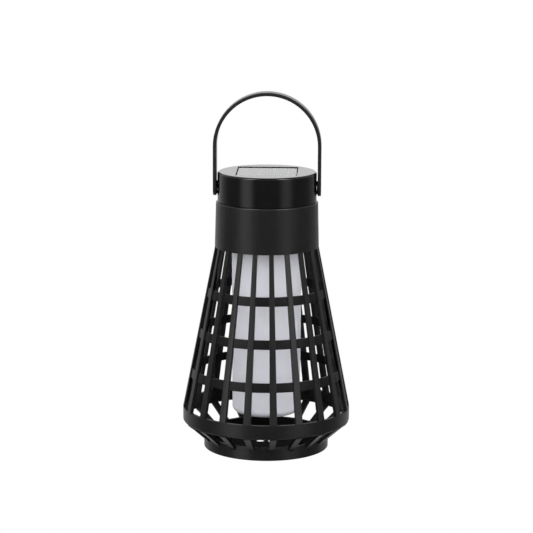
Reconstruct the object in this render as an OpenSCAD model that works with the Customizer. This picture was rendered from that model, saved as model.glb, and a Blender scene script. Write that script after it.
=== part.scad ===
// Solar garden lantern
// A slotted cage stands on a narrow base ring. The solar head drops into the
// collar of the cage with the frosted diffuser hanging from it, and a bail
// handle swings on two split snap pins in the head.
// All lengths are millimetres, +Z is up and the origin is the centre of the base.

/* [Cage] */

// Outer radius at the band, the widest place
cage_r = 70; // [66:0.5:74]
// Outer radius of the rib line where the ribs reach the collar
cage_top_r = 43.2; // [43:0.1:44]
// Height of the top of the band
band_top = 34.6; // [33:0.1:36]
// Height of the bottom of the band
band_bottom = 22.7; // [21:0.1:24]
// Wall thickness of the band
band_wall = 2.8; // [2.4:0.1:3.4]
// Number of ribs round the cage
rib_count = 20; // [16:1:22]
// Angle that each rib fills
rib_angle = 5; // [4:0.25:6]
// Angle of the middle of the first rib, anticlockwise from +X
rib_turn = 7; // [0:0.5:18]
// Thickness of a rib through the cage wall
rib_depth = 2.8; // [2.4:0.1:3]
// Height of the middle of the lowest ring
ring_low = 64.4; // [60:0.2:68]
// Distance from one ring to the next
ring_pitch = 34.3; // [32:0.1:36]
// Height of a ring
ring_height = 7.5; // [5:0.1:9]
// How far a ring sits in behind the faces of the ribs
ring_inset = 1.05; // [0.5:0.05:1.2]

/* [Collar] */

// Height of the top of the collar
collar_top = 208.6; // [205:0.1:212]
// Height of the bottom of the collar
collar_bottom = 170.6; // [168:0.1:174]
// Outer radius at the top of the collar
collar_top_r = 42.4; // [42:0.1:42.8]
// Outer radius at the bottom of the collar
collar_bottom_r = 43.3; // [43.1:0.1:43.6]
// Radius of the rounded shoulder at the top of the collar
shoulder_r = 1.3; // [0.8:0.1:1.4]
// Radius of the bore that takes the head
collar_bore_r = 39.8; // [39.7:0.05:39.9]

/* [Base] */

// Outer radius of the base ring
base_r = 52.3; // [50:0.1:55]
// Height of the base ring
base_height = 11; // [9:0.1:13]
// Wall thickness of the base ring
base_wall = 2.4; // [2:0.1:3]
// Height at which the outer edge of a strut meets the base ring
strut_foot = 7.2; // [6.5:0.1:8]
// Height of the ledge that carries the floor plate
ledge_z = 2.2; // [1.6:0.1:3]
// Thickness of the floor plate
floor_t = 1; // [1:0.1:1.8]
// Radius of the two drain holes in the floor plate
drain_r = 3.6; // [2:0.1:4.2]
// Distance of each drain hole from the axis
drain_x = 4.8; // [4.6:0.1:12]

/* [Diffuser] */

// Outer radius at the rim of the diffuser
diffuser_top_r = 29.1; // [27:0.1:29.5]
// Outer radius near the closed end
diffuser_end_r = 28.4; // [26:0.1:29]
// Height of the closed end above the ground
diffuser_bottom = 29.6; // [26:0.1:40]
// Wall thickness of the diffuser
diffuser_wall = 1.6; // [1.2:0.1:2]
// Corner radius at the closed end
diffuser_corner = 5; // [3:0.1:8]

/* [Head] */

// Outer radius of the cap
cap_r = 41.1; // [40.9:0.1:41.2]
// Height of the top of the cap
cap_top = 233.4; // [230:0.1:236]
// Wall thickness of the cap
cap_wall = 2.4; // [2.2:0.1:2.6]
// Edge radius at the top of the cap
cap_edge = 1.8; // [0.8:0.1:2]
// Side of the square solar panel
panel_w = 48.6; // [47:0.1:49.4]
// Gap between the panel and the edge of its recess
panel_gap = 0.9; // [0.3:0.1:1.1]
// Depth of the panel recess
recess_depth = 2.7; // [2.7:0.1:3]
// How far the face of the panel sits below the top of the cap
panel_drop = 0.55; // [0.1:0.05:0.7]
// Radius of the circle that carries the screws and the push button
fixing_r = 33.4; // [33:0.1:33.6]

/* [Handle] */

// Half of the outer width of the handle
handle_r = 44.7; // [44.4:0.1:46]
// Thickness of the handle strap
handle_t = 2.9; // [2.4:0.1:3.1]
// Width of the handle strap
handle_w = 14; // [12:0.5:15]
// Height of the pivot
pivot_z = 220; // [219:0.1:221]
// Height of the top of the arch
arch_top = 299.1; // [285:0.1:310]
// Radius of the snap pins
pin_r = 3.95; // [3.5:0.05:4.4]
// Height of the slot that splits each pin
pin_slot = 4.2; // [2:0.1:4.5]

/* [Electrics] */

// Length of the AA cell without its terminal
cell_length = 49; // [48:0.1:50]
// Diameter of the AA cell
cell_d = 14.2; // [13.8:0.1:14.5]
// Travel of the push button
button_travel = 1.2; // [0.8:0.1:1.5]

/* [Hidden] */

$fn = 96;
slope = (cage_r - cage_top_r) / (collar_bottom - band_top);
rib_step = 360 / rib_count;
rib_start = rib_turn - rib_angle / 2;
bore_fit = 0.05;
housing_r = collar_bore_r - 0.1;
housing_wall = 1.8;
housing_floor = 180;
housing_floor_t = 2.4;
housing_step = collar_top - 0.6;
spigot_r = cap_r - cap_wall - 0.1;
spigot_wall = 1.7;
spigot_top = collar_top + 3.4;
cap_in_r = cap_r - cap_wall;
cap_plate = recess_depth + 1.5;
recess_z = cap_top - recess_depth;
tape_t = 0.5;
backing_t = 1;
cover_t = recess_depth - tape_t - backing_t - panel_drop;
strip_w = 11;
strip_l = 45;
strip_t = 0.3;
screw_r = 1.3;
screw_head_r = 2.3;
screw_len = 10;
boss_r = 2.6;
boss_bottom = housing_floor + housing_floor_t;
screw_angles = [-30, 90, 210];
handle_in_r = handle_r - handle_t;
arch_z = arch_top - handle_r;
button_r = 2.7;
button_z = housing_floor - 2;
button_top = boss_bottom - 0.3;
switch_z = button_top + button_travel + 0.1;
socket_r = diffuser_top_r + 0.1;
socket_wall = 1.3;
socket_bottom = housing_floor - 6;
cell_y = 13;
cell_z = housing_floor + housing_floor_t + cell_d / 2 + 0.8;
pcb_bottom = housing_floor + housing_floor_t + 2;
pcb_t = 1.6;
pcb_x = 22;
pcb_front = -26;
pcb_back = 4;
contact_x = cell_length / 2 + 2.2;
wire_r = 0.6;

// Sub-part to draw, or "all"

function cone_r(z) = cage_r - (z - band_top) * slope;

// Points of an arc in a section, from one angle to another
function arc(r0, z0, r, from, to, steps = 5) =
    [for (i = [0 : steps]) let (a = from + (to - from) * i / steps) [r0 + r * cos(a), z0 + r * sin(a)]];

// A full turned body from a section given as [radius, height] points
module turned(section) {
    rotate_extrude($fn = 180)
        polygon(section);
}

// One sector of a turned body for each rib
module rib_sectors(section) {
    for (i = [0 : rib_count - 1])
        rotate([0, 0, rib_start + i * rib_step])
            rotate_extrude(angle = rib_angle)
                polygon(section);
}

module cage_ring(z) {
    low = z - ring_height / 2;
    high = z + ring_height / 2;
    turned([
        [cone_r(low) - rib_depth + 0.3, low],
        [cone_r(low) - ring_inset, low],
        [cone_r(high) - ring_inset, high],
        [cone_r(high) - rib_depth + 0.3, high]
    ]);
}

module collar() {
    turned(concat(
        [[collar_bore_r, collar_bottom]],
        arc(collar_bottom_r - 0.4, collar_bottom + 0.4, 0.4, -90, 0, 3),
        arc(collar_top_r - shoulder_r, collar_top - shoulder_r, shoulder_r, 0, 90),
        [[collar_bore_r + 0.3, collar_top]],
        [[collar_bore_r, collar_top - 0.3]]
    ));
}

module band() {
    low = 1.5;
    top = 0.3;
    turned(concat(
        [[cage_r - band_wall, band_bottom + 0.5]],
        [[cage_r - band_wall + 0.5, band_bottom]],
        arc(cage_r - low, band_bottom + low, low, -90, 0),
        arc(cage_r - top, band_top - top, top, 0, 90, 3),
        [[cage_r - band_wall, band_top]]
    ));
}

module base_ring() {
    low = 0.5;
    top = 0.8;
    turned(concat(
        [[base_r - base_wall - 2.4, 0]],
        arc(base_r - low, low, low, -90, 0, 4),
        arc(base_r - top, base_height - top, top, 0, 90, 4),
        [[base_r - base_wall, base_height]],
        [[base_r - base_wall, ledge_z]],
        [[base_r - base_wall - 2.4, ledge_z]]
    ));
}

module cage() {
    color("black") {
        collar();
        band();
        base_ring();
        for (i = [0 : 2])
            cage_ring(ring_low + i * ring_pitch);
        // Ribs
        rib_sectors([
            [cage_r - rib_depth + 0.3, band_top - 3],
            [cage_r - 0.4, band_top - 3],
            [cone_r(band_top + 0.5), band_top + 0.5],
            [cone_r(collar_bottom - 2.5), collar_bottom - 2.5],
            [collar_bottom_r - 0.2, collar_bottom + 1],
            [collar_bottom_r - 0.3, collar_bottom + 3.6],
            [collar_bore_r + 0.4, collar_bottom + 3.6],
            [cone_r(collar_bottom - 1) - rib_depth, collar_bottom - 1]
        ]);
        // Struts from the band down to the base ring
        rib_sectors([
            [cage_r - band_wall + 0.4, band_bottom + 1.4],
            [base_r - 1.6, base_height - 0.5],
            [base_r - 1.5, strut_foot - 1.1],
            [cage_r - 4.4, band_bottom - 3.4],
            [cage_r - 2.25, band_bottom - 1.85],
            [cage_r - 0.9, band_bottom - 0.7],
            [cage_r - 0.3, band_bottom + 0.4],
            [cage_r - 0.6, band_bottom + 2.4],
            [cage_r - band_wall + 0.4, band_bottom + 2.4]
        ]);
    }
}

module floor_plate() {
    color("black") {
        difference() {
            translate([0, 0, ledge_z])
                cylinder(r = base_r - base_wall - 0.1, h = floor_t, $fn = 180);
            for (s = [-1, 1])
                translate([s * drain_x, 0, ledge_z - 1])
                    cylinder(r = drain_r, h = floor_t + 2, $fn = 64);
        }
        // Stiffening ring moulded on the floor
        translate([0, 0, ledge_z + floor_t - 0.1])
            rotate_extrude($fn = 128)
                translate([30, 0])
                    square([1.6, 1.3]);
    }
}

module diffuser() {
    c = diffuser_corner;
    w = diffuser_wall;
    color("white") {
        rotate_extrude($fn = 180)
            polygon(concat(
                [[0, diffuser_bottom]],
                arc(diffuser_end_r - c, diffuser_bottom + c, c, -90, 0, 6),
                [[diffuser_top_r, housing_floor - 9]],
                [[diffuser_top_r, housing_floor]],
                [[diffuser_top_r - w, housing_floor]],
                arc(diffuser_end_r - c, diffuser_bottom + c, c - w, 0, -90, 6),
                [[0, diffuser_bottom + w]]
            ));
        // Snap lugs at the rim
        for (a = [30, 150, 270])
            rotate([0, 0, a - 6])
                rotate_extrude(angle = 12)
                    polygon([
                        [diffuser_top_r - 0.8, housing_floor - 4],
                        [diffuser_top_r + 1.2, housing_floor - 4],
                        [diffuser_top_r + 1.2, housing_floor - 2.2],
                        [diffuser_top_r - 0.8, housing_floor - 2.2]
                    ]);
    }
}

// Walls that carry the cell and its two contacts
module cell_cradle() {
    base = housing_floor + housing_floor_t - 0.2;
    for (x = [-14, 14])
        difference() {
            translate([x - 0.8, cell_y - 8, base])
                cube([1.6, 16, 5.4]);
            translate([x - 2, cell_y, cell_z])
                rotate([0, 90, 0])
                    cylinder(r = cell_d / 2 + 0.1, h = 4, $fn = 64);
        }
    for (s = [-1, 1])
        translate([s * (contact_x + 0.9) - 0.6, cell_y - 4.5, base])
            cube([1.2, 9, 13]);
}

module housing() {
    color("dimgray")
        difference() {
            union() {
                turned([
                    [0, housing_floor],
                    [housing_r - 1, housing_floor],
                    [housing_r, housing_floor + 1],
                    [housing_r, housing_step],
                    [spigot_r, housing_step],
                    [spigot_r, spigot_top],
                    [spigot_r - spigot_wall, spigot_top],
                    [spigot_r - spigot_wall, housing_step - 2],
                    [housing_r - housing_wall, housing_step - 4],
                    [housing_r - housing_wall, boss_bottom],
                    [0, boss_bottom]
                ]);
                // Socket for the rim of the diffuser
                turned([
                    [socket_r, socket_bottom],
                    [socket_r + socket_wall, socket_bottom],
                    [socket_r + socket_wall, housing_floor + 0.5],
                    [socket_r, housing_floor + 0.5]
                ]);
                cell_cradle();
                // Posts under the circuit board
                for (x = [-17, 17], y = [-21, 0])
                    translate([x, y, boss_bottom - 0.2])
                        cylinder(r = 2, h = pcb_bottom - boss_bottom + 0.2, $fn = 32);
                // Collar round the push button
                translate([0, -fixing_r, boss_bottom - 0.2])
                    cylinder(r = 4.2, h = 1.2, $fn = 48);
            }
            // Windows in the socket for the snap lugs
            for (a = [30, 150, 270])
                rotate([0, 0, a - 7])
                    rotate_extrude(angle = 14)
                        polygon([
                            [socket_r - 1, housing_floor - 4.15],
                            [socket_r + 3, housing_floor - 4.15],
                            [socket_r + 3, housing_floor - 2.05],
                            [socket_r - 1, housing_floor - 2.05]
                        ]);
            // Hole for the light
            translate([0, 0, housing_floor - 1])
                cylinder(r = 2.6, h = 5, $fn = 48);
            // Bore of the push button
            translate([0, -fixing_r, housing_floor - 1])
                cylinder(r = button_r + bore_fit, h = 6, $fn = 64);
            // Screw holes
            for (a = screw_angles)
                rotate([0, 0, a])
                    translate([fixing_r, 0, housing_floor - 1])
                        cylinder(r = screw_r + 0.2, h = 5, $fn = 32);
        }
}

module housing_screws() {
    color("silver")
        for (a = screw_angles)
            rotate([0, 0, a])
                translate([fixing_r, 0, 0])
                    difference() {
                        union() {
                            translate([0, 0, housing_floor - 1.6])
                                cylinder(r = screw_head_r, h = 1.6, $fn = 48);
                            translate([0, 0, housing_floor - 0.4])
                                cylinder(r = screw_r, h = screw_len + 0.4, $fn = 32);
                        }
                        // Cross recess
                        translate([-1.4, -0.3, housing_floor - 2])
                            cube([2.8, 0.6, 1.2]);
                        translate([-0.3, -1.4, housing_floor - 2])
                            cube([0.6, 2.8, 1.2]);
                    }
}

module gasket() {
    color("darkslategray")
        turned([
            [spigot_r + 0.1, housing_step],
            [housing_r - 0.05, housing_step],
            [housing_r - 0.05, collar_top],
            [spigot_r + 0.1, collar_top]
        ]);
}

module cap() {
    side = panel_w + 2 * panel_gap;
    color("#101012")
        difference() {
            union() {
                turned(concat(
                    [[cap_in_r, collar_top]],
                    arc(cap_r - 0.5, collar_top + 0.5, 0.5, -90, 0, 3),
                    arc(cap_r - cap_edge, cap_top - cap_edge, cap_edge, 0, 90),
                    [[0, cap_top]],
                    [[0, cap_top - cap_plate]],
                    [[cap_in_r, cap_top - cap_plate]]
                ));
                for (a = screw_angles)
                    rotate([0, 0, a])
                        translate([fixing_r, 0, boss_bottom])
                            cylinder(r = boss_r, h = cap_top - cap_plate + 1 - boss_bottom, $fn = 48);
            }
            // Recess for the solar panel
            translate([-side / 2, -side / 2, recess_z])
                cube([side, side, recess_depth + 1]);
            // Hole for the panel wires
            translate([0, 1.5, cap_top - cap_plate - 1])
                cylinder(r = 3, h = cap_plate, $fn = 32);
            // Bores for the handle pins
            for (s = [-1, 1])
                translate([s * (cap_r - 1), 0, pivot_z])
                    rotate([0, 90, 0])
                        cylinder(r = pin_r + bore_fit, h = 8, center = true, $fn = 96);
            // Pilot holes in the screw bosses
            for (a = screw_angles)
                rotate([0, 0, a])
                    translate([fixing_r, 0, boss_bottom - 1])
                        cylinder(r = screw_r, h = screw_len + 1, $fn = 32);
        }
}

module panel_tape() {
    color("gray")
        difference() {
            translate([-panel_w / 2 + 2, -panel_w / 2 + 2, recess_z])
                cube([panel_w - 4, panel_w - 4, tape_t]);
            translate([0, 1.5, recess_z - 1])
                cylinder(r = 3.4, h = 3, $fn = 32);
        }
}

module panel_backing() {
    color("navy")
        translate([-panel_w / 2, -panel_w / 2, recess_z + tape_t])
            cube([panel_w, panel_w, backing_t]);
}

// The four strips of the cell, grown by a clearance
module strip_blocks(grow, h) {
    for (i = [0 : 3])
        translate([
            (i - 1.5) * (strip_w + 0.5) - strip_w / 2 - grow,
            -strip_l / 2 - grow,
            recess_z + tape_t + backing_t
        ])
            cube([strip_w + 2 * grow, strip_l + 2 * grow, h]);
}

module solar_cells() {
    color("midnightblue")
        strip_blocks(0, strip_t);
}

module panel_cover() {
    color("lightcyan")
        difference() {
            translate([-panel_w / 2, -panel_w / 2, recess_z + tape_t + backing_t])
                cube([panel_w, panel_w, cover_t]);
            translate([0, 0, -0.5])
                strip_blocks(0.02, strip_t + 0.5);
        }
}

module panel_wires() {
    color("red")
        for (x = [-1.5, 1.5])
            translate([x, 1.5, pcb_bottom + pcb_t])
                cylinder(r = wire_r, h = recess_z + tape_t - pcb_bottom - pcb_t, $fn = 24);
}

module circuit_board() {
    color("green")
        difference() {
            translate([-pcb_x, pcb_front, pcb_bottom])
                cube([2 * pcb_x, pcb_back - pcb_front, pcb_t]);
            // Holes for the legs of the light
            for (x = [-1.27, 1.27])
                translate([x, 0, pcb_bottom - 1])
                    cylinder(r = 0.45, h = pcb_t + 2, $fn = 24);
        }
}

module board_parts() {
    z = pcb_bottom + pcb_t;
    color("dimgray") {
        // Charge controller
        translate([-16, -18, z])
            cube([9, 4, 2.2]);
        // Coil
        translate([8, -12, z])
            cylinder(r = 3.6, h = 5, $fn = 48);
        // Capacitor
        translate([-6, -8, z])
            cylinder(r = 2.5, h = 7, $fn = 40);
        // Two resistors
        for (y = [-22, -19])
            translate([6, y, z])
                cube([6, 1.8, 1.6]);
    }
}

module led() {
    tip = housing_floor - 5;
    color("ivory") {
        rotate_extrude($fn = 64)
            polygon([
                [0, tip - 2.5],
                [1.2, tip - 2.2],
                [2, tip - 1.4],
                [2.5, tip],
                [2.5, housing_floor + 3.2],
                [0, housing_floor + 3.2]
            ]);
        // Flange
        translate([0, 0, boss_bottom])
            cylinder(r = 2.95, h = 1, $fn = 64);
        for (x = [-1.27, 1.27])
            translate([x, 0, housing_floor + 3])
                cylinder(r = 0.3, h = pcb_bottom + pcb_t + 1 - housing_floor - 3, $fn = 24);
    }
}

module battery() {
    color("seagreen")
        translate([-cell_length / 2, cell_y, cell_z])
            rotate([0, 90, 0]) {
                cylinder(d = cell_d, h = cell_length, $fn = 96);
                translate([0, 0, cell_length - 0.2])
                    cylinder(r = 2.7, h = 1.7, $fn = 48);
            }
}

module contact_spring() {
    wire = 0.45;
    start = -contact_x - 0.3;
    color("gold") {
        translate([start, cell_y - 4, cell_z - 4])
            cube([0.4, 8, 8]);
        // Turns of the spring pressed close by the cell
        for (i = [0 : 2])
            translate([start + 0.75 + i * 0.62, cell_y, cell_z])
                rotate([0, 90, 0])
                    rotate_extrude($fn = 64)
                        translate([3.4 - i * 0.45, 0])
                            circle(r = wire, $fn = 24);
    }
}

module contact_plate() {
    color("gold") {
        translate([contact_x - 0.1, cell_y - 4, cell_z - 4])
            cube([0.4, 8, 8]);
        // Dimple that touches the terminal
        translate([contact_x - 0.7, cell_y, cell_z])
            rotate([0, 90, 0])
                cylinder(r1 = 1.4, r2 = 2, h = 0.8, $fn = 48);
    }
}

module battery_wires() {
    bend_y = 1;
    color("red")
        for (s = [-1, 1])
            translate([s * (contact_x - 0.5), bend_y, pcb_bottom + pcb_t + wire_r]) {
                sphere(r = wire_r, $fn = 24);
                // Back to the contact
                rotate([-90, 0, 0])
                    cylinder(r = wire_r, h = cell_y - 4 - bend_y, $fn = 24);
                // In over the edge of the board
                rotate([0, -s * 90, 0])
                    cylinder(r = wire_r, h = 7, $fn = 24);
            }
}

module switch_body() {
    color("black")
        difference() {
            translate([-3.5, -fixing_r - 3, switch_z])
                cube([7, 6.5, 6]);
            translate([0, -fixing_r, switch_z - 1])
                cylinder(r = 1.6, h = 5.4, $fn = 48);
        }
}

module push_button() {
    color("orangered")
        translate([0, -fixing_r, 0]) {
            translate([0, 0, button_z + 0.5])
                cylinder(r = button_r, h = button_top - button_z - 0.5, $fn = 64);
            translate([0, 0, button_z])
                cylinder(r1 = button_r - 0.5, r2 = button_r, h = 0.5, $fn = 64);
            translate([0, 0, button_top - 0.2])
                cylinder(r = 1.5, h = 2.2, $fn = 48);
        }
}

// One leg with its round end, and the pin on its inner face
module handle_leg() {
    slot_end = cap_r + 0.65;
    translate([handle_in_r, 0, pivot_z])
        rotate([0, 90, 0])
            cylinder(r = handle_w / 2, h = handle_t, $fn = 96);
    translate([handle_in_r, -handle_w / 2, pivot_z])
        cube([handle_t, handle_w, arch_z - pivot_z]);
    // Spacer boss, pin and snap barb, all split by one slot
    difference() {
        union() {
            translate([cap_r + 0.25, 0, pivot_z])
                rotate([0, 90, 0])
                    cylinder(r = handle_w / 2 - 1.6, h = handle_in_r - cap_r + 0.25, $fn = 96);
            translate([cap_in_r - 1.8, 0, pivot_z])
                rotate([0, 90, 0])
                    cylinder(r = pin_r, h = handle_in_r - cap_in_r + 2.8, $fn = 96);
            translate([cap_in_r - 1.8, 0, pivot_z])
                rotate([0, 90, 0])
                    cylinder(r1 = pin_r - 0.3, r2 = pin_r + 0.6, h = 1.2, $fn = 96);
        }
        translate([cap_in_r - 3, -handle_w, pivot_z - pin_slot / 2])
            cube([slot_end - cap_in_r + 3, 2 * handle_w, pin_slot]);
    }
}

module handle() {
    color("#161618") {
        for (s = [0, 1])
            mirror([s, 0, 0])
                handle_leg();
        translate([0, 0, arch_z])
            rotate([90, 0, 0])
                rotate_extrude(angle = 180, $fn = 180)
                    translate([handle_in_r, -handle_w / 2])
                        square([handle_t, handle_w]);
    }
}

cage();
floor_plate();
diffuser();
housing();
housing_screws();
gasket();
cap();
panel_tape();
panel_backing();
solar_cells();
panel_cover();
panel_wires();
circuit_board();
board_parts();
led();
battery();
contact_spring();
contact_plate();
battery_wires();
switch_body();
push_button();
handle();
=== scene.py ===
import math

import bpy
from mathutils import Matrix, Vector

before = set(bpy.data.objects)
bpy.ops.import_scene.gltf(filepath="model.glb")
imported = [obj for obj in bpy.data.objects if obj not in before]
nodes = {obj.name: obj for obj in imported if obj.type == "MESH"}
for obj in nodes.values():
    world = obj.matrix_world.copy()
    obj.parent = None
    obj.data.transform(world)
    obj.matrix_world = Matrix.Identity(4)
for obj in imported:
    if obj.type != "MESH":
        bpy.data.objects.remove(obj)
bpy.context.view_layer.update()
MM = 0.001


# ---------------------------------------------------------------- node helpers


class Graph:
    """Short calls for building one node tree."""

    def __init__(self, tree):
        self.tree = tree

    def node(self, kind, **properties):
        made = self.tree.nodes.new(kind)
        for key, value in properties.items():
            setattr(made, key, value)
        return made

    def put(self, value, target):
        """Joins a node output to an input, or types a number into it."""
        if isinstance(value, bpy.types.NodeSocket):
            self.tree.links.new(value, target)
        else:
            target.default_value = value

    def math(self, operation, *values):
        made = self.node("ShaderNodeMath", operation=operation)
        for value, target in zip(values, made.inputs):
            self.put(value, target)
        return made.outputs[0]

    def split(self, vector):
        """The X, Y and Z of a vector, as three outputs."""
        made = self.node("ShaderNodeSeparateXYZ")
        self.put(vector, made.inputs[0])
        return made.outputs

    def remap(self, value, low, high, start=0.3, stop=0.7, kind="LINEAR"):
        """Goes from low to high while the value goes from start to stop, and holds outside that.
        The default start and stop suit a noise value."""
        made = self.node("ShaderNodeMapRange", interpolation_type=kind)
        ends = (("From Min", start), ("From Max", stop), ("To Min", low), ("To Max", high))
        for name, number in ends:
            self.put(number, made.inputs[name])
        self.put(value, made.inputs["Value"])
        return made.outputs["Result"]

    def fade(self, value, low, high, start, stop):
        """The same as remap, with soft ends."""
        return self.remap(value, low, high, start, stop, "SMOOTHSTEP")

    def mix(self, value, first, second):
        """Goes from the first colour to the second as the value goes from 0 to 1."""
        made = self.node("ShaderNodeMix", data_type="RGBA")
        for colour, target in ((first, made.inputs[6]), (second, made.inputs[7])):
            joined = isinstance(colour, bpy.types.NodeSocket)
            self.put(colour if joined else (*colour, 1), target)
        self.put(value, made.inputs["Factor"])
        return made.outputs[2]


class Finish(Graph):
    """One material: a principled shader, with textures measured in millimetres."""

    def __init__(self, name):
        self.material = bpy.data.materials.new(name)
        self.material.use_nodes = True
        super().__init__(self.material.node_tree)
        self.shader = self.tree.nodes["Principled BSDF"]
        self.place = self.node("ShaderNodeTexCoord").outputs["Object"]

    def set(self, **inputs):
        for name, value in inputs.items():
            self.put(value, self.shader.inputs[name.replace("_", " ")])

    def show(self, shader):
        """Makes another shader the surface, instead of the principled one alone."""
        self.put(shader, self.tree.nodes["Material Output"].inputs["Surface"])

    def either(self, share, first, second):
        """A mix of two shaders, with the given share of the second."""
        made = self.node("ShaderNodeMixShader")
        for value, target in zip((share, first, second), made.inputs):
            self.put(value, target)
        return made.outputs[0]

    def noise(self, size_mm, detail=4.0):
        """Noise whose features are about size_mm across, as a 0 to 1 value."""
        mapping = self.node("ShaderNodeMapping")
        self.put(Vector((1, 1, 1)) / (size_mm * MM), mapping.inputs["Scale"])
        self.put(self.place, mapping.inputs["Vector"])
        texture = self.node("ShaderNodeTexNoise")
        self.put(1.0, texture.inputs["Scale"])
        self.put(detail, texture.inputs["Detail"])
        self.put(mapping.outputs["Vector"], texture.inputs["Vector"])
        return texture.outputs["Fac"]

    def mottled(self, size_mm, first, second, detail=4.0):
        """Two colours in patches about size_mm across."""
        return self.mix(self.remap(self.noise(size_mm, detail), 0, 1), first, second)

    def bump(self, value, height_mm):
        made = self.node("ShaderNodeBump")
        self.put(height_mm * MM, made.inputs["Distance"])
        self.put(value, made.inputs["Height"])
        return made.outputs["Normal"]


# ------------------------------------------------------------------- materials

# Sizes of the cage, in millimetres
BAND_RADIUS = 70
BAND_TOP = 34.6
COLLAR_RADIUS = 43.2
COLLAR_BOTTOM = 170.6
LOWEST_RING = 64.4
RING_PITCH = 34.3
# Half the height of a ring, as a share of the pitch
RING_REACH = 0.115
# Heights between which the rings are
RINGS_FROM = 40
RINGS_TO = 150

# Sizes of the silver lines on the solar cells, in millimetres
BAR_PITCH = 11.5
BAR_WIDTH = 0.9
FINGER_PITCH = 2.25
FINGER_WIDTH = 0.14


def moulded_plastic(name, dark, light, rough, grain_mm, grain_height_mm, specular=0.5):
    """Moulded plastic: mottled colour, uneven gloss and a fine moulded grain. The specular level
    is a number, or a function that makes one for this finish."""
    f = Finish(name)
    if callable(specular):
        specular = specular(f)
    f.set(
        Base_Color=f.mottled(9, dark, light, detail=3),
        Roughness=f.remap(f.noise(5, detail=5), rough - 0.03, rough + 0.04),
        IOR=1.49,
        Specular_IOR_Level=specular,
    )
    if grain_height_mm:
        f.set(Normal=f.bump(f.noise(grain_mm, detail=2), grain_height_mm))
    return f.material


def ring_and_ledge_painted_shade(f):
    """Specular level of the cage, with painted shade: lower on its rings, behind the rib faces,
    as a painted shadow of the ribs, and on its upward ledges, dimming their highlights."""
    x, y, z = f.split(f.place)
    radius = f.math("SQRT", f.math("ADD", f.math("MULTIPLY", x, x), f.math("MULTIPLY", y, y)))
    # Painted shadow: the gloss is lowered on ring faces set back behind the rib faces, where the
    # ribs shade them
    rib_face = f.remap(
        z, BAND_RADIUS * MM, COLLAR_RADIUS * MM, BAND_TOP * MM, COLLAR_BOTTOM * MM
    )
    set_back = f.remap(f.math("SUBTRACT", rib_face, radius), 0, 1, 0.4 * MM, 0.8 * MM)
    below_ring = f.math("SUBTRACT", z, (LOWEST_RING - RING_PITCH / 2) * MM)
    cycle = f.math("FRACT", f.math("DIVIDE", below_ring, RING_PITCH * MM))
    from_middle = f.math("ABSOLUTE", f.math("SUBTRACT", cycle, 0.5))
    at_ring = f.math("LESS_THAN", from_middle, RING_REACH)
    above_band = f.math("GREATER_THAN", z, RINGS_FROM * MM)
    ring = f.math("MULTIPLY", f.math("MULTIPLY", set_back, at_ring), above_band)
    # Painted shade: the gloss is lowered on upward-facing ledges under the collar, dimming their
    # highlights
    upward = f.split(f.node("ShaderNodeNewGeometry").outputs["Normal"])["Z"]
    ledge = f.remap(upward, 0, 1, 0.5, 0.8)
    under_collar = f.math("LESS_THAN", z, RINGS_TO * MM)
    painted_shade_mask = f.math("MULTIPLY", f.math("MAXIMUM", ring, ledge), under_collar)
    return f.remap(painted_shade_mask, 0.5, 0.2, 0, 1)


def frosted_plastic():
    f = Finish("frosted_plastic")
    f.set(
        Base_Color=f.mottled(14, (0.745, 0.745, 0.805), (0.775, 0.775, 0.835)),
        Roughness=f.remap(f.noise(2), 0.42, 0.52),
        Subsurface_Weight=0.4,
        Subsurface_Radius=(0.004, 0.004, 0.004),
        Normal=f.bump(f.noise(0.35, detail=1), 0.01),
    )
    return f.material


def clear_resin():
    """A thin clear cover. What isn't mirrored passes straight through to the cells under it."""
    f = Finish("clear_resin")
    f.set(
        Base_Color=f.mottled(6, (0.94, 0.95, 0.96), (0.98, 0.98, 0.99)),
        Roughness=f.remap(f.noise(12), 0.03, 0.07),
        Metallic=1.0,
    )
    fresnel = f.node("ShaderNodeFresnel")
    f.put(1.5, fresnel.inputs["IOR"])
    clear = f.node("ShaderNodeBsdfTransparent")
    f.put((0.93, 0.95, 0.97, 1), clear.inputs["Color"])
    f.show(f.either(fresnel.outputs[0], clear.outputs[0], f.shader.outputs[0]))
    return f.material


def silicon():
    """Blue crystals with a silver bar down the middle of each strip and fine silver fingers
    across it."""
    f = Finish("silicon")
    grain = f.node("ShaderNodeTexVoronoi")
    f.put(260.0, grain.inputs["Scale"])
    f.put(f.place, grain.inputs["Vector"])
    x, y, _ = f.split(f.place)

    def lines(along, pitch_mm, width_mm):
        cycle = f.math("FRACT", f.math("DIVIDE", along, pitch_mm * MM))
        from_middle = f.math("ABSOLUTE", f.math("SUBTRACT", cycle, 0.5))
        return f.math("LESS_THAN", from_middle, width_mm / pitch_mm / 2)

    bars = lines(x, BAR_PITCH, BAR_WIDTH)
    silver = f.math("MAXIMUM", bars, lines(y, FINGER_PITCH, FINGER_WIDTH))
    crystals = f.mix(grain.outputs["Distance"], (0.008, 0.014, 0.05), (0.018, 0.03, 0.1))
    f.set(
        Base_Color=f.mix(silver, crystals, (0.5, 0.5, 0.52)),
        Roughness=f.remap(f.noise(3), 0.2, 0.3),
    )
    return f.material


def plated_metal(name, first, second):
    f = Finish(name)
    f.set(
        Base_Color=f.mottled(1.5, first, second),
        Roughness=f.remap(f.noise(0.8), 0.2, 0.35),
        Metallic=1.0,
    )
    return f.material


def plain_moulding(name, first, second, rough):
    f = Finish(name)
    f.set(
        Base_Color=f.mottled(2.5, first, second),
        Roughness=f.remap(f.noise(1.2), rough - 0.05, rough + 0.05),
        Normal=f.bump(f.noise(0.3, detail=1), 0.01),
    )
    return f.material


def paint(material, *names):
    for name in names:
        slots = nodes[name].data.materials
        for i in range(len(slots)):
            slots[i] = material


def grey(value):
    return (value, value, value * 1.06)


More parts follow.
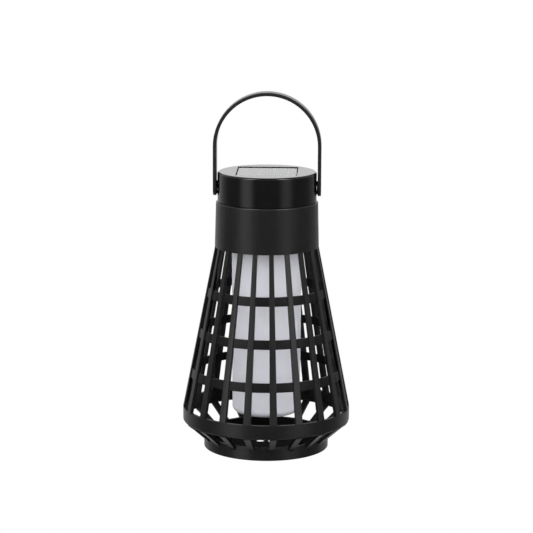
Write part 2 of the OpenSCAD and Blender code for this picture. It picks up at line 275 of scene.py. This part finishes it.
def assign_materials():
    # The cage's specular level carries painted shade on its rings and ledges
    cage = moulded_plastic(
        "cage_plastic", grey(0.0038), grey(0.0052), 0.34, 0.45, 0.012, ring_and_ledge_painted_shade
    )
    floor_plate = moulded_plastic(
        "floor_plastic", grey(0.002), grey(0.003), 0.5, 1.2, 0.02, specular=0.01
    )
    housing = moulded_plastic("housing_plastic", grey(0.007), grey(0.01), 0.4, 0.5, 0.02)
    zinc = plated_metal("zinc_plate", (0.55, 0.55, 0.56), (0.68, 0.68, 0.68))
    nickel = plated_metal("nickel_plate", (0.6, 0.56, 0.47), (0.7, 0.67, 0.58))
    wires = plain_moulding("wire_sleeve", (0.4, 0.02, 0.015), (0.52, 0.04, 0.02), 0.45)
    paint(cage, "cage")
    paint(floor_plate, "floor_plate")
    paint(moulded_plastic("cap_plastic", grey(0.0024), grey(0.003), 0.15, 1.5, 0.002), "cap")
    paint(moulded_plastic("handle_plastic", grey(0.009), grey(0.011), 0.32, 0.8, 0), "handle")
    paint(housing, "housing", "switch_body")
    paint(frosted_plastic(), "diffuser")
    paint(clear_resin(), "panel_cover")
    paint(silicon(), "solar_cells")
    paint(zinc, "housing_screws")
    paint(nickel, "contact_spring", "contact_plate")
    paint(wires, "panel_wires", "battery_wires")
    for node, name, first, second, rough in (
        ("gasket", "seal_rubber", grey(0.02), grey(0.03), 0.7),
        ("panel_tape", "foam_pad", (0.68, 0.68, 0.66), (0.78, 0.78, 0.75), 0.9),
        ("panel_backing", "backing_board", (0.012, 0.014, 0.03), (0.018, 0.02, 0.04), 0.5),
        ("circuit_board", "board_laminate", (0.015, 0.14, 0.05), (0.02, 0.19, 0.07), 0.4),
        ("board_parts", "chip_plastic", grey(0.02), grey(0.035), 0.5),
        ("led", "light_resin", (0.86, 0.78, 0.5), (0.94, 0.88, 0.62), 0.15),
        ("battery", "cell_jacket", (0.02, 0.24, 0.09), (0.04, 0.32, 0.12), 0.25),
        ("push_button", "button_rubber", (0.62, 0.12, 0.02), (0.74, 0.18, 0.03), 0.6),
    ):
        paint(plain_moulding(name, first, second, rough), node)


# ------------------------------------------------------------------ CAD surfaces

# Angle between faces from which an edge is rounded, and from which a crisp one is kept sharp
ROUNDED_FROM = math.radians(32)
CRISP_FROM = math.radians(8)
# Angle up to which faces count as one flat
FLAT_WITHIN = math.radians(0.5)
# Corners of the import closer than this, in metres, are one
WELD_WITHIN = 2e-6


def joint_key(point):
    """The same for all corners at one place, to a thousandth of a millimetre."""
    return tuple(round(c * 1e6) for c in point)


def edge_angles(mesh):
    """The angle between the two faces at each edge, also where the mesh is cut open there."""
    beside = {}
    for face in mesh.polygons:
        for pair in face.edge_keys:
            ends = frozenset(joint_key(mesh.vertices[i].co) for i in pair)
            beside.setdefault(ends, []).append(face.normal)
    angles = []
    for edge in mesh.edges:
        normals = beside[frozenset(joint_key(mesh.vertices[i].co) for i in edge.vertices)]
        angles.append(normals[0].angle(normals[1], 0) if len(normals) == 2 else 0)
    return angles


def round_edges(name, width_mm, segments=2, crisp_between=None):
    """Takes the sharp edges off a CAD node and smooths its curved faces, with modifiers only.
    Between two heights in millimetres the edges can be left crisp instead."""
    piece = nodes[name]
    mesh = piece.data
    mesh.polygons.foreach_set("use_smooth", [True] * len(mesh.polygons))
    if "custom_normal" in mesh.attributes:
        mesh.attributes.remove(mesh.attributes["custom_normal"])
    weights = []
    crisp = []
    for edge, angle in zip(mesh.edges, edge_angles(mesh)):
        keep = False
        if crisp_between:
            low, high = crisp_between
            keep = all(low < mesh.vertices[i].co.z / MM < high for i in edge.vertices)
        weights.append(float(angle > ROUNDED_FROM and not keep))
        crisp.append(keep and angle > CRISP_FROM)
    mesh.attributes.new("bevel_weight_edge", "FLOAT", "EDGE").data.foreach_set("value", weights)
    if "sharp_edge" not in mesh.attributes:
        mesh.attributes.new("sharp_edge", "BOOLEAN", "EDGE")
    mesh.attributes["sharp_edge"].data.foreach_set("value", crisp)
    weld = piece.modifiers.new("weld", "WELD")
    weld.merge_threshold = WELD_WITHIN
    merge = piece.modifiers.new("merge_flats", "DECIMATE")
    merge.decimate_type = "DISSOLVE"
    merge.angle_limit = FLAT_WITHIN
    bevel = piece.modifiers.new("round_edges", "BEVEL")
    bevel.width = width_mm * MM
    bevel.segments = segments
    bevel.limit_method = "WEIGHT"
    bevel.use_clamp_overlap = False
    normals = piece.modifiers.new("even_normals", "WEIGHTED_NORMAL")
    normals.weight = 80
    normals.keep_sharp = True


def finish_surfaces():
    # Where the ribs run into the collar, the faces are too narrow for a rounded edge
    round_edges("cage", 0.35, crisp_between=(167.9, 176))
    round_edges("cap", 0.25)
    round_edges("handle", 0.7, segments=3)
    round_edges("diffuser", 0.3)
    round_edges("floor_plate", 0.2)
    round_edges("housing", 0.2)


# ------------------------------------------------------------------------ stage

CAMERA_DISTANCE = 1.7315
CAMERA_HEIGHT = 0.4867
CAMERA_TURN = math.radians(2.0)
CAMERA_PITCH = math.radians(10.903)
CAMERA_ROLL = math.radians(0.252)
CAMERA_LENS = 142.84
CAMERA_SHIFT = -0.0005
FLOOR_REACH = 6.0


def add_camera():
    data = bpy.data.cameras.new("camera")
    data.lens = CAMERA_LENS
    data.sensor_width = 36
    data.shift_x = CAMERA_SHIFT
    data.clip_end = 20
    camera = bpy.data.objects.new("camera", data)
    bpy.context.scene.collection.objects.link(camera)
    stand = Matrix.Translation((0, -CAMERA_DISTANCE, CAMERA_HEIGHT))
    tilt = Matrix.Rotation(math.pi / 2 - CAMERA_PITCH, 4, "X")
    roll = Matrix.Rotation(CAMERA_ROLL, 4, "Z")
    camera.matrix_world = Matrix.Rotation(CAMERA_TURN, 4, "Z") @ stand @ tilt @ roll
    bpy.context.scene.camera = camera


def add_floor():
    """White paper. The eye sees it evenly lit, and the glossy parts don't mirror it."""
    mesh = bpy.data.meshes.new("floor")
    signs = ((-1, -1), (1, -1), (1, 1), (-1, 1))
    corners = [(x * FLOOR_REACH, y * FLOOR_REACH, 0) for x, y in signs]
    mesh.from_pydata(corners, [], [(0, 1, 2, 3)])
    floor = bpy.data.objects.new("floor", mesh)
    bpy.context.scene.collection.objects.link(floor)
    f = Finish("floor_paper")
    f.set(
        Base_Color=f.mottled(30, (0.28, 0.28, 0.28), (0.32, 0.32, 0.32)),
        Roughness=0.95,
        Specular_IOR_Level=0.0,
    )
    rays = f.node("ShaderNodeLightPath")
    evenly_lit = f.node("ShaderNodeEmission")
    clear = f.node("ShaderNodeBsdfTransparent")
    unmirrored = f.either(rays.outputs["Is Glossy Ray"], f.shader.outputs[0], clear.outputs[0])
    f.show(f.either(rays.outputs["Is Camera Ray"], unmirrored, evenly_lit.outputs[0]))
    mesh.materials.append(f.material)


def softbox(g, azimuth, elevation, centre, half_width, low):
    """A tall soft light at one side of the camera, brighter towards its top. Angles in degrees."""
    soft_edge = 9
    away = g.math("ABSOLUTE", g.math("SUBTRACT", azimuth, centre))
    across = g.fade(away, 1, 0, half_width - soft_edge, half_width + soft_edge)
    upward = g.fade(elevation, low, 6.0, 2, 44)
    top = g.fade(elevation, 1, 0, 50, 75)
    return g.math("MULTIPLY", g.math("MULTIPLY", across, upward), top)


def mirrored_studio(g, azimuth, elevation):
    """What gloss mirrors: a dark studio with a softbox at each side of the camera, and a white
    backdrop and walls behind the object. Azimuth 0 is towards the camera. Angles in degrees."""
    ceiling = g.fade(elevation, 1, 0.3, 35, 65)
    room = g.fade(elevation, 0.1, 0.42, -12, 12)
    left_box = softbox(g, azimuth, elevation, centre=-49, half_width=13, low=0.85)
    right_box = softbox(g, azimuth, elevation, centre=46, half_width=12, low=0.5)
    near_floor = g.fade(elevation, 1, 0.4, -16, -11)
    left_wall = g.fade(azimuth, 0.45, 0, -150, -95)
    right_wall = g.math("MULTIPLY", g.fade(azimuth, 0, 0.45, 95, 150), near_floor)
    at_back = g.fade(g.math("ABSOLUTE", azimuth), 0, 0.85, 145, 174)
    backdrop = g.math("MULTIPLY", at_back, g.fade(elevation, 0.3, 1, -60, -30))
    behind = g.math("MAXIMUM", backdrop, g.math("ADD", left_wall, right_wall))
    soft = g.math("MULTIPLY", g.math("ADD", room, behind), ceiling)
    return g.math("ADD", soft, g.math("ADD", left_box, right_box))


def add_world():
    """White for the eye. The soft light on dull surfaces is brighter from above and from the
    camera's side. Gloss mirrors a studio instead. Both turn with the camera."""
    world = bpy.data.worlds.new("studio")
    bpy.context.scene.world = world
    world.use_nodes = True
    world.cycles.sampling_method = "NONE"
    g = Graph(world.node_tree)
    direction = g.node("ShaderNodeTexCoord").outputs["Generated"]
    to_camera = g.node("ShaderNodeVectorTransform", vector_type="VECTOR")
    to_camera.convert_from = "WORLD"
    to_camera.convert_to = "CAMERA"
    g.put(direction, to_camera.inputs[0])
    right, _, ahead = g.split(to_camera.outputs[0])
    up = g.split(direction)["Z"]
    # Takes out the camera's tilt, so that azimuth 0 is towards the camera at any height
    ahead = g.math("ADD", ahead, g.math("MULTIPLY", up, math.sin(CAMERA_PITCH)))
    azimuth = g.math("DEGREES", g.math("ARCTAN2", right, g.math("MULTIPLY", ahead, -1)))
    elevation = g.math("DEGREES", g.math("ARCSINE", up))
    from_above = g.remap(elevation, 1.25, 2.9, 0, 80)
    from_camera = g.remap(g.math("ABSOLUTE", azimuth), 1.3, 0.8, 20, 130)
    strength = g.node("ShaderNodeMix", data_type="FLOAT")
    g.put(g.node("ShaderNodeLightPath").outputs["Is Glossy Ray"], strength.inputs["Factor"])
    g.put(g.math("MULTIPLY", from_above, from_camera), strength.inputs["A"])
    g.put(mirrored_studio(g, azimuth, elevation), strength.inputs["B"])
    g.put(strength.outputs[0], g.tree.nodes["Background"].inputs["Strength"])
    g.put((1, 1, 1, 1), g.tree.nodes["Background"].inputs["Color"])


assign_materials()
finish_surfaces()
add_world()
add_floor()
add_camera()
bpy.context.scene.view_settings.view_transform = "Standard"
